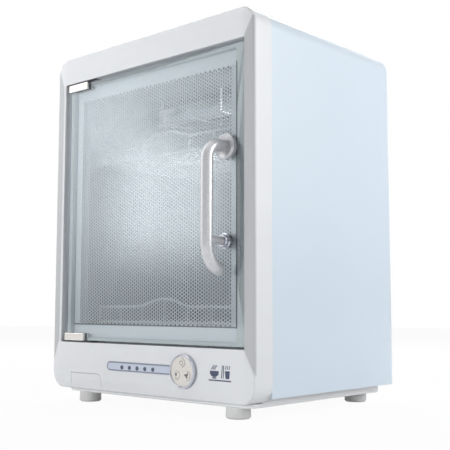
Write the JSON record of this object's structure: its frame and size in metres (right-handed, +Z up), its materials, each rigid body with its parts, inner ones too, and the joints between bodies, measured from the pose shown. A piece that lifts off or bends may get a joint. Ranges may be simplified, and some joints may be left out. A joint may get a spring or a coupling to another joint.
{
  "type": "sterilizing and drying cabinet",
  "caption": "Countertop sterilizing and drying cabinet: glazed swing door over a perforated screen, wire racks, drip drawer, fan and control disc.",
  "frame": {"origin": "middle of the whole object's box in X and Y (grip and rear screws included), at the height of the surface that its feet stand on", "axes": "+X to the right as seen from the front, +Y to the back, +Z up; the door faces -Y"},
  "size_m": [0.382, 0.3634, 0.5],
  "materials": {
    "white_plastic": "satin",
    "blue_steel": "satin",
    "zinc_sheet": "satin",
    "base_plastic": "satin",
    "rubber": "matte",
    "screws": "satin",
    "liner_steel": "brushed",
    "wire_chrome": "polished",
    "lamp_glass": "polished",
    "lamp_ends": "satin",
    "holder_plastic": "matte",
    "reflector": "polished",
    "black_plastic": "matte",
    "heater_ceramic": "matte",
    "ballast_tin": "satin",
    "transformer_iron": "matte",
    "board_green": "satin",
    "brass": "satin",
    "lens_amber": "polished",
    "led_clear": "polished",
    "strip_film": "satin",
    "bright_ring": "polished",
    "key_face": "satin",
    "key_caps": "satin",
    "tray_plastic": "satin",
    "guide_plastic": "matte",
    "spout_rubber": "matte",
    "door_glass": "polished",
    "door_alloy": "satin",
    "screen_grey": "satin",
    "seal_rubber": "matte",
    "hinge_chrome": "polished",
    "pivot_steel": "satin",
    "handle_plastic": "polished",
    "magnet_ferrite": "matte"
  },
  "bodies": {
    "cabinet": {"front_bezel": "white_plastic", "outer_shell": "blue_steel", "rear_panel": "zinc_sheet", "rear_panel_screws": "screws", "bottom_plate": "zinc_sheet", "base_tray": "base_plastic", "foot_front_left": "rubber", "foot_front_right": "rubber", "foot_rear_left": "rubber", "foot_rear_right": "rubber", "foot_screws": "screws", "chamber_liner": "liner_steel", "upper_rack_ledges": "liner_steel", "lower_rack_ledges": "liner_steel", "uv_tube": "lamp_glass", "uv_tube_caps": "lamp_ends", "lamp_holders": "holder_plastic", "lamp_reflector": "reflector", "lamp_guard": "wire_chrome", "fan_frame": "black_plastic", "heater": "heater_ceramic", "uv_ballast": "ballast_tin", "transformer": "transformer_iron", "power_board": "board_green", "board_standoffs": "brass", "power_inlet": "black_plastic", "control_board": "board_green", "key_switches": "black_plastic", "indicator_leds": "led_clear", "control_strip": "strip_film", "indicator_lenses": "lens_amber", "control_ring": "bright_ring", "control_face": "key_face", "drawer_guides": "guide_plastic", "drain_spout": "spout_rubber", "door_seal": "seal_rubber", "hinge_pivot_top": "pivot_steel", "hinge_pivot_bottom": "pivot_steel", "door_magnet": "magnet_ferrite", "door_switch": "black_plastic"},
    "door": {"door_glass": "door_glass", "door_frame": "door_alloy", "door_screen": "screen_grey", "strike_plate": "screws", "hinge_clip_top": "hinge_chrome", "hinge_clip_bottom": "hinge_chrome", "door_handle": "handle_plastic", "handle_rosette": "handle_plastic", "handle_collar": "bright_ring", "handle_screws": "screws"},
    "drip_drawer": {"drip_drawer_front": "white_plastic", "drip_drawer_tray": "tray_plastic"},
    "upper_rack": {"upper_rack_floor": "wire_chrome", "upper_rack_guard": "wire_chrome"},
    "lower_rack": {"lower_rack_floor": "wire_chrome", "lower_rack_guard": "wire_chrome"},
    "power_button": {"power_key": "key_caps"},
    "drying_button": {"drying_key": "key_caps"},
    "warming_button": {"warming_key": "key_caps"},
    "fan_rotor": {"fan_impeller": "black_plastic"}
  },
  "joints": [
    {"name": "door_hinge", "type": "hinge", "parent": "cabinet", "child": "door", "pos_m": [-0.158, -0.1367, 0.2725], "axis": [0, 0, -1], "range_deg": [0, 110]},
    {"name": "drip_drawer_slide", "type": "slide", "parent": "cabinet", "child": "drip_drawer", "axis": [0, -1, 0], "range_m": [0, 0.075]},
    {"name": "power_key_press", "type": "slide", "parent": "cabinet", "child": "power_button", "axis": [0, 1, 0], "range_m": [0, 0.0012], "stiffness_N_per_m": 300},
    {"name": "drying_key_press", "type": "slide", "parent": "cabinet", "child": "drying_button", "axis": [0, 1, 0], "range_m": [0, 0.0012], "stiffness_N_per_m": 300},
    {"name": "warming_key_press", "type": "slide", "parent": "cabinet", "child": "warming_button", "axis": [0, 1, 0], "range_m": [0, 0.0012], "stiffness_N_per_m": 300},
    {"name": "upper_rack_slide", "type": "slide", "parent": "cabinet", "child": "upper_rack", "axis": [0, -1, 0], "range_m": [0, 0.016]},
    {"name": "lower_rack_slide", "type": "slide", "parent": "cabinet", "child": "lower_rack", "axis": [0, -1, 0], "range_m": [0, 0.016]},
    {"name": "fan_spin", "type": "hinge", "parent": "cabinet", "child": "fan_rotor", "pos_m": [0.003, 0.1643, 0.2], "axis": [0, 1, 0], "continuous": true}
  ]
}
